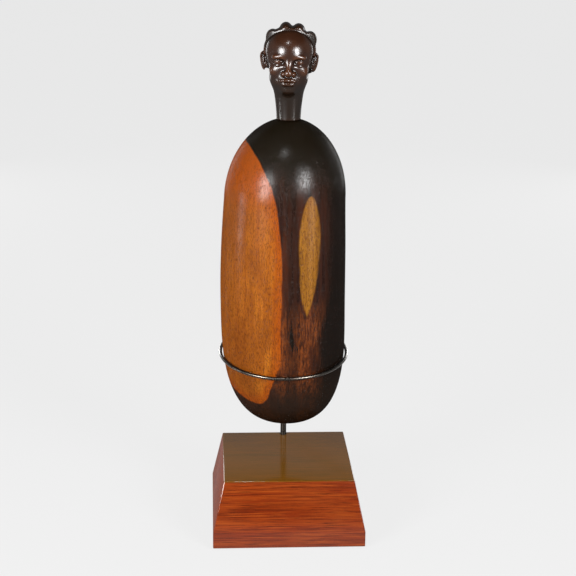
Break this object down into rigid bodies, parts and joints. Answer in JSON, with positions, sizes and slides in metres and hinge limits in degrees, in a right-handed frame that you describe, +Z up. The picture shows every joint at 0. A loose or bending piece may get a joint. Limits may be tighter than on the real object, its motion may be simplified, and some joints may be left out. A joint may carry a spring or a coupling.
{
  "type": "fertility doll on a stand",
  "caption": "Carved wooden doll with a capsule-shaped body and a small plug-in head, seated in a wire ring on a post that rises from a bevelled wooden block.",
  "frame": {"origin": "centre of the felt's underside, where the stand rests", "axes": "+Z up, the doll's face and the ring's low side towards -Y, +X to the right seen from the front"},
  "size_m": [0.1016, 0.1016, 0.3432],
  "materials": {
    "felt": "matte pressed felt",
    "base_wood": "polished red hardwood with fine level grain",
    "dark_steel": "blackened and waxed",
    "plated_steel": "bright zinc plate",
    "braze_metal": "dulled brazing bronze",
    "body_wood": "hand-polished, orange-brown sapwood beside black heartwood",
    "head_wood": "dark and glossy from oil and handling"
  },
  "bodies": {
    "stand": {"felt_pad": "felt", "base_block": "base_wood", "post": "dark_steel", "washer": "plated_steel", "nut": "plated_steel", "ring": "dark_steel", "ring_braze": "braze_metal"},
    "doll": {"doll_body": "body_wood"},
    "head": {"doll_head": "head_wood"}
  },
  "joints": [
    {"name": "doll_lift", "type": "slide", "parent": "stand", "child": "doll", "axis": [0, 0, 1], "range_m": [0, 0.062]},
    {"name": "head_pull", "type": "slide", "parent": "doll", "child": "head", "axis": [0, 0, 1], "range_m": [0, 0.026]}
  ]
}
